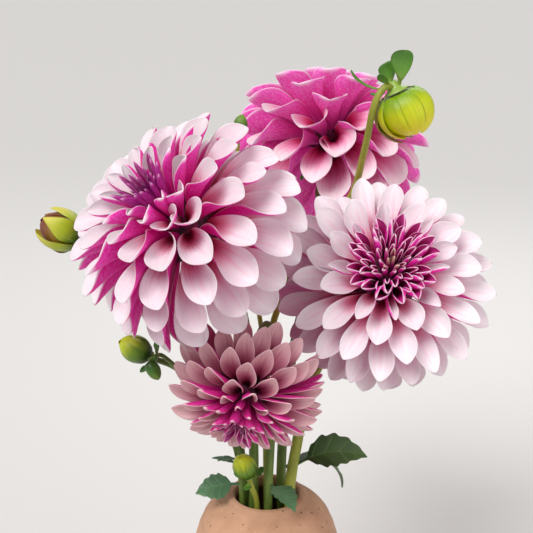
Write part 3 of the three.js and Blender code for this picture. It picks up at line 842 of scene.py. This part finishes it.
def bloom(name, looks):
    """A head: its open petals, its eye of closed florets, and the heart they all spring from, dark as painted
    shade.
    """
    head = HEADS[name]
    reach, core, width = head["reach"], head["core"], head["width"]
    young = GROWN_SHARE * reach
    shared = dict(spin=head["spin"], step=GOLDEN_ANGLE, start=0.85 * core)
    petals = whorl(
        looks["petal"], head["petals"], 22, 26, head["shape"], **shared, skip=head["florets"],
        angle=(head["eye"] + 3.0, head["back"]), crowding=0.92, jitter=1.2, reach=(young, reach),
        reach_by=0.4, width=(0.55 * width, width), grown_by=head["young"], roll=(118, head["cup"]),
        root_roll=134, opens_from=head["opens"], opens_by=1.06, curl=(8, head["curl"]),
        lopsided=head["lop"], turned=head["turned"], sags=head["sag"], sags_at=LOWEST_TURN,
        settles=0.9, twist=12, crease=0.5, wave=0.5, thickness=0.7,
    )
    florets = whorl(
        looks["eye"], head["florets"], 16, 18, head["tube"], **shared, angle=(0, head["eye"]),
        crowding=0.5, jitter=0.06 * head["messy"], reach=(0.6 * reach, young), width=head["quill"],
        roll=(138, head["mouth"]), root_roll=138, opens_from=0.6, opens_by=1, curl=(-6, 4),
        twist=head["messy"], crease=0.1, wave=0.3, thickness=0.6,
    )
    profile = [(0, -HEART_FLAT), (0.74, -HEART_FLAT), (0.9, -0.3), (0.95, 0), (0.88, 0.4), (0.6, 0.74),
               (0.3, 0.9), (0, 0.95)]
    heart = turned([(out * core, up * core) for out, up in profile], 32, looks["heart"])
    node = "bloom_" + name
    for part, mesh in (("_petals", petals), ("_eye", florets), ("_heart", heart)):
        piece(node + part, mesh, [node], axes_at(head))


# -------- stalks


def stem_foot(stem):
    """A stem's line in the jar, up to the mouth. Its middle point keeps the curve straight below it."""
    x, y = stem["mouth"]
    foot = []
    for height in (STEM_END, STRAIGHT_FROM, JAR_HEIGHT):
        spread = STEM_SPREAD + (1 - STEM_SPREAD) * (height - STEM_END) / (JAR_HEIGHT - STEM_END)
        foot.append((x * spread, y * spread, height))
    return foot


def stem_mesh(points, radius, material):
    return grow("stem", {
        "Radius": radius * MM, "Joints": 3.0, "Swelling": 0.05, "Material": material,
    }, line_mesh(rounded(points)))


BRACT_SHAPE = (0.85, 4, 0.62)  # taper, fullness and point


def calyx(name, looks):
    """The green cup behind a head, with its ring of bracts bent back."""
    head = HEADS[name]
    core = head["core"]
    flat = HEART_FLAT * core + GAP
    neck = 1.3 * STEMS[name]["radius"]
    cup = turned([(0, -0.7 * core - flat), (neck, -0.7 * core - flat), (0.4 * core, -0.42 * core - flat),
                  (0.58 * core, -0.14 * core - flat), (0.6 * core, -flat), (0, -flat)], 32, looks["stem"])
    bracts = whorl(
        looks["bract"], 5, 16, 18, BRACT_SHAPE, spin=head["spin"], step=72, start=0.35 * core,
        angle=118, reach=1.1 * core, width=0.17 * core, roll=30, root_roll=60, curl=30, twist=8,
        crease=0.2, wave=0.2, thickness=1,
    )
    return joined([cup, raised(bracts, -(flat + 0.15 * core))])


def stalk(name, looks):
    """A stem with all that grows on it."""
    stem, node = STEMS[name], "stalk_" + name
    light = name in LIGHT_STEMS
    look = looks["stem_light" if light else "stem_blue"]
    tip = HEADS[name] if name in HEADS else BUDS[name.removesuffix("_bud")]
    centre, axis = Vector(tip["centre"]), Vector(tip["axis"]).normalized()
    if name in HEADS:
        flat = HEART_FLAT * tip["core"] + GAP
        neck = [centre - axis * (flat + share * tip["core"]) for share in (1.3, 0.4)]
        piece(node + "_calyx", calyx(name, looks), [node], axes_at(tip))
    else:
        neck = [centre - axis * (CUP_TOP * tip["length"] + GAP + CUP_STEM)]
        piece(node + "_cup", bud_cup(tip, looks), [node], axes_at(tip))
    points = [*stem_foot(stem), *stem["way"], *neck]
    piece(node + "_stem", stem_mesh(points, stem["radius"], look), [node])
    for number, leaf in enumerate(LEAVES.get(name, [])):
        at = Matrix.Translation(Vector(leaf["at"]) * MM)
        mesh = leaf_mesh(leaf, looks["leaf" if light else "leaf_blue"])
        piece(f"{node}_leaf_{number + 1}", mesh, [node], at)
    if name in SHOOTS:
        shoot = SHOOTS[name]
        body = bud_mesh(shoot["bud"], looks["bud_young"])
        piece(node + "_shoot", stem_mesh(shoot["way"], shoot["radius"], look), [node])
        piece(node + "_shoot_bud", body, [node], axes_at(shoot["bud"]))


def leaf_mesh(leaf, material):
    return grow("leaf", {
        "Turn": leaf["heading"], "Angle": 90.0 - leaf["pitch"], "Droop": leaf["droop"],
        "Tilt": -float(leaf.get("tilt", 0)), "Length": leaf["length"] * MM, "Width": leaf["width"] * MM,
        "Stalk": 0.2, "Stalk Width": 1.1 * MM, "Teeth": float(leaf.get("teeth", 5)),
        "Thickness": 0.8 * MM, "Material": material,
    })


# -------- buds


def bow_of(bud):
    """Radius of the arc, in the bud's lengthwise section, that runs from its seat to its tip."""
    half, wide = bud["length"] / 2, bud["radius"]
    return half if half < wide else (half ** 2 + wide ** 2) / (2 * wide)


def scales(bud, material, lift=-0.7, stretch=1.0, **changes):
    """Broad scales wrapped round a bud from its seat to its tip, each with one edge over the next."""
    half, wide, bow = bud["length"] / 2, bud["radius"] + lift, bow_of(bud)
    seat = math.asin(BUD_SEAT * half / bow)
    tip = math.asin(BUD_CLOSED * half / bow)
    start = (wide - bow + bow * math.cos(seat)) / math.sin(seat)
    half_width = 1.4 * math.pi * wide / bud["scales"]
    roll = half_width / wide / DEGREE
    mesh = whorl(material, **(dict(
        count=bud["scales"], around=18, steps=26, shape=(0.26, 2.4, 0.75), step=360 / bud["scales"],
        spin=0, start=start, angle=seat / DEGREE, reach=start + bow * (seat + tip) * stretch,
        width=half_width, roll=roll, root_roll=roll, curl=-(seat + tip) / DEGREE, turned=8, twist=3,
        crease=0.12, wave=0.25, thickness=0.6,
    ) | changes))
    return raised(mesh, -(BUD_SEAT * half + start * math.cos(seat)))


def bud_mesh(bud, material):
    body = grow("bud", {
        "Radius": 0.9 * bud["radius"] * MM, "Length": 0.94 * bud["length"] * MM, "Material": material,
    })
    return joined([body, scales(bud, material)])


def dry_scales(bud, material):
    """Papery outer scales down one side of a bud, with their tips standing off."""
    return scales(
        bud, material, 0.3, 1.12, count=3, step=27, spin=274, shape=(0.26, 1.8, 1.1), turned=-6,
        wave=0.8, thickness=0.4,
    )


def loose_scales(bud, material):
    """Outer scales round an opening bud, with their tips standing off."""
    return scales(
        bud, material, 0.4, 0.92, count=5, step=72, spin=20, curl=-98, shape=(0.26, 2, 0.9),
        turned=-6, wave=0.8, thickness=0.5,
    )


# How the bracts of a cup are formed: slim ones, and spoons with a narrow stalk and a round end.
SLIM = dict(shape=BRACT_SHAPE, root_roll=50)
SPOON = dict(shape=(0.62, 6, 0.5), root_roll=110, opens_by=0.75, lopsided=0.4)


def bud_cup(bud, looks):
    """The cup under a bud, with its bracts."""
    wide = 0.42 * bud["radius"]
    top = -CUP_TOP * bud["length"] - GAP
    slim = 0.16 * bud["radius"]
    cup = turned([(0, top - 2.4 * slim), (slim, top - 2.4 * slim), (1.1 * slim, top - 1.4 * slim),
                  (0.72 * wide, top - 0.6 * slim), (wide, top - 0.6), (wide, top), (0, top)],
                 32, looks["bract"])
    meshes = [cup]
    for turn, angle, bend, length, width, twist in bud["bracts"]:
        spoon = width > SPOON_WIDTH
        start = (0.2 if spoon else 0.8) * wide
        bract = whorl(
            looks["bract"], 1, 20, 24, **(SPOON if spoon else SLIM), step=0, spin=turn,
            start=start, angle=angle, reach=start + length, width=width, roll=35, curl=bend,
            turned=twist, twist=0, crease=0.25, wave=0.3, thickness=1,
        )
        meshes.append(raised(bract, top - CUP_BRACTS))
    return joined(meshes)


def bud_piece(name, part, mesh):
    node = "bud_" + name
    piece(node + part, mesh, [node], axes_at(BUDS[name]))


# -------- jar

JAR_OUTSIDE = [(33, 0), (35, 2), (40, 30), (45.5, 64), (47.5, 92), (45.7, 112), (42.1, 127), (37, 137.5),
               (30, 144), (25.5, 147), (23.5, 149.4), (21.2, 150)]
JAR_FLOOR = 7  # how high it lies above the foot
JAR_INSIDE = [(19.8, 149), (19.8, 143), (32.5, 133), (37.6, 124), (41.2, 110), (43, 92), (41, 64),
              (35.5, 30), (30.5, 9), (28.5, JAR_FLOOR)]
RIPPLE = 0.12  # how high the wall's ripples are
RIPPLE_TURN = 0.9  # radians of a ripple to a millimetre of height
RIPPLE_FROM, RIPPLE_BY = 6, 10  # the height where they start, and how far above it they are full


def rounded_profile(profile, steps):
    return [(p.x, p.z) for p in rounded([(r, 0, z) for r, z in profile], steps)]


def jar(material):
    """The thrown jar, its wall rippled by a hair where the fingers rose."""
    outside = []
    for r, z in rounded_profile(JAR_OUTSIDE, 8):
        full = min(1, max(0, (z - RIPPLE_FROM) / RIPPLE_BY))
        outside.append((r + RIPPLE * math.sin(z * RIPPLE_TURN) * full, z))
    inside = rounded_profile(JAR_INSIDE, 5)
    mesh = turned([(0, 0), *outside, *inside, (0, JAR_FLOOR)], 144, material)
    piece("jar_body", mesh, ["jar"])


# -------- the whole


petal = petal_finish()
green = fresh_green()
# In each set of petal colours the darkest one is painted shade at the petals' roots, deep in the head.
PALE = {
    "Tip": (240, 232, 236), "Middle": (238, 152, 182), "Root": (224, 40, 112), "Hollow": (156, 10, 70),
    "Reverse": (234, 4, 158), "Reverse Light": (246, 124, 230), "Rim": (255, 250, 252),
}
DEEP = {
    "Tip": (252, 236, 240), "Middle": (242, 160, 196), "Root": (228, 50, 128), "Hollow": (124, 6, 60),
    "Reverse": (248, 76, 196), "Reverse Light": (255, 184, 238), "Rim": (255, 232, 246),
}
# Petal colours darkened as painted shade, for the low head that hangs in the shade of the heads above.
SHADED_PETAL = {
    "Tip": (224, 182, 186), "Middle": (192, 118, 140), "Root": (150, 36, 86), "Hollow": (70, 8, 36),
    "Reverse": (206, 2, 132), "Reverse Light": (230, 84, 180), "Rim": (248, 226, 224),
}
EYE = {
    "Tip": (206, 104, 172), "Middle": (188, 30, 136), "Root": (140, 8, 92), "Hollow": (84, 4, 58),
    "Reverse": (178, 2, 136), "Reverse Light": (212, 70, 184), "Rim": (240, 168, 220),
    "Newest": (116, 8, 92),
}
FULL_EYE = {
    "Tip": (212, 66, 156), "Middle": (188, 12, 124), "Root": (120, 4, 76), "Hollow": (60, 2, 40),
    "Reverse": (214, 2, 150), "Reverse Light": (240, 80, 196), "Rim": (255, 230, 242),
    "Newest": (206, 172, 132),
}
DUSK_EYE = EYE | {"Reverse": (196, 4, 124), "Reverse Light": (226, 76, 168), "Rim": (244, 208, 220)}
looks = {
    "heart": heart_shade_material(),
    "stem": green_material("stem_green", green, (132, 160, 54), (76, 108, 28)),
    "stem_light": green_material("stem_light", green, (170, 172, 62), (118, 130, 34)),
    "stem_blue": green_material("stem_blue", green, (118, 142, 58), (66, 92, 34)),
    "bract": bud_material("bract_green", (148, 176, 78), (96, 146, 44), (68, 120, 30), (44, 88, 20)),
    "bud_dry": bud_material("bud_dry", (138, 150, 36), (176, 164, 56), (150, 112, 58), (112, 84, 40)),
    "leaf": leaf_material("leaf_green", green, (84, 116, 48), (30, 58, 22), (104, 128, 84), 5.6),
    "leaf_blue": leaf_material("leaf_blue", green, (96, 138, 92), (38, 74, 50), (112, 140, 108), 5.6),
    "bud": bud_material("bud_yellow", (124, 164, 4), (196, 204, 2), (226, 214, 4), (128, 128, 6)),
    "bud_green": bud_material("bud_green", (30, 64, 10), (96, 134, 16), (198, 204, 20), (58, 84, 18)),
    "bud_opening": bud_material("bud_opening", (60, 104, 12), (150, 120, 40), (126, 58, 30), (92, 34, 20)),
    "bud_loose": bud_material("bud_loose", (58, 100, 10), (172, 192, 26), (216, 208, 78), (140, 132, 30)),
    "bud_young": bud_material("bud_young", (46, 86, 22), (70, 116, 30), (112, 148, 42), (40, 70, 20)),
}
petals = {
    "left": petal_material("petal_pale", petal, PALE, 0.34, vein=0.7),
    "right": petal_material("petal_white", petal, PALE, 0.29, vein=0.8),
    "back": petal_material("petal_deep", petal, DEEP, 0.5),
    # painted shade: the low head's petals take the darkened colours
    "low": petal_material("petal_dusk", petal, SHADED_PETAL, 0.48, vein=1.5),
}
tight = petal_material("eye_tight", petal, EYE, 0.6, margin=0.05, newest=0.5)
eyes = {
    "left": tight,
    "right": petal_material("eye_full", petal, FULL_EYE, 0.6, newest=0.16),
    "back": tight,
    "low": petal_material("eye_dusk", petal, DUSK_EYE, 0.6, newest=0.3),
}
for name in HEADS:
    bloom(name, looks | {"petal": petals[name], "eye": eyes[name]})
for name in STEMS:
    stalk(name, looks)
for name, bud in BUDS.items():
    bud_piece(name, "_body", bud_mesh(bud, looks[BUD_LOOKS[name]]))
bud_piece("top", "_dry_scales", dry_scales(BUDS["top"], looks["bud_dry"]))
bud_piece("left", "_loose_scales", loose_scales(BUDS["left"], looks["bud_loose"]))
jar(stoneware_material())
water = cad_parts["water"]
water.data.materials.clear()
water.data.materials.append(water_material())


# -------- stage, light and camera

MIDDLE = (0, 0, 0.27)  # of the bunch
HALF_VIEW = 14  # degrees from the middle of the picture to its edge
CAMERA = (0, -0.5847, 0.4863)
CAMERA_TILT = 72  # degrees up from straight down


def floor():
    half = 12.0  # metres from its middle to its edge
    corners = [(-half, -half, 0), (half, -half, 0), (half, half, 0), (-half, half, 0)]
    mesh = bpy.data.meshes.new("floor")
    mesh.from_pydata(corners, [], [(0, 1, 2, 3)])
    material, _, shader = material_with("floor", 0.8)
    shader.inputs["Base Color"].default_value = (0.68, 0.665, 0.65, 1)
    mesh.materials.append(material)
    add_object("floor", mesh)


def add_light(name, kind, power, place, aim):
    """A light at that place, turned towards the aim, and of that its data."""
    data = bpy.data.lights.new(name, kind)
    data.energy = power
    made = add_object(name, data)
    made.location = place
    made.rotation_euler = (Vector(aim) - Vector(place)).to_track_quat("-Z", "Y").to_euler()
    return data


def camera():
    data = bpy.data.cameras.new("camera")
    data.sensor_width = 36
    data.lens = data.sensor_width / 2 / math.tan(HALF_VIEW * DEGREE)
    made = add_object("camera", data)
    made.location = CAMERA
    made.rotation_euler = (CAMERA_TILT * DEGREE, 0, 0)
    bpy.context.scene.camera = made


floor()
add_light("key", "SUN", 2.4, (-0.45, -0.55, 0.9), (0, 0, 0)).angle = 35 * DEGREE
add_light("fill", "AREA", 3, (0.8, -0.7, 0.7), MIDDLE).size = 0.8
add_light("back", "AREA", 3, (0.2, 0.9, 0.9), MIDDLE).size = 0.6
world = bpy.data.worlds.new("studio")
world.use_nodes = True
background = world.node_tree.nodes["Background"]
background.inputs["Color"].default_value = (1.0, 0.985, 0.97, 1)
background.inputs["Strength"].default_value = 0.43
bpy.context.scene.world = world
bpy.context.scene.view_settings.view_transform = "Standard"
camera()
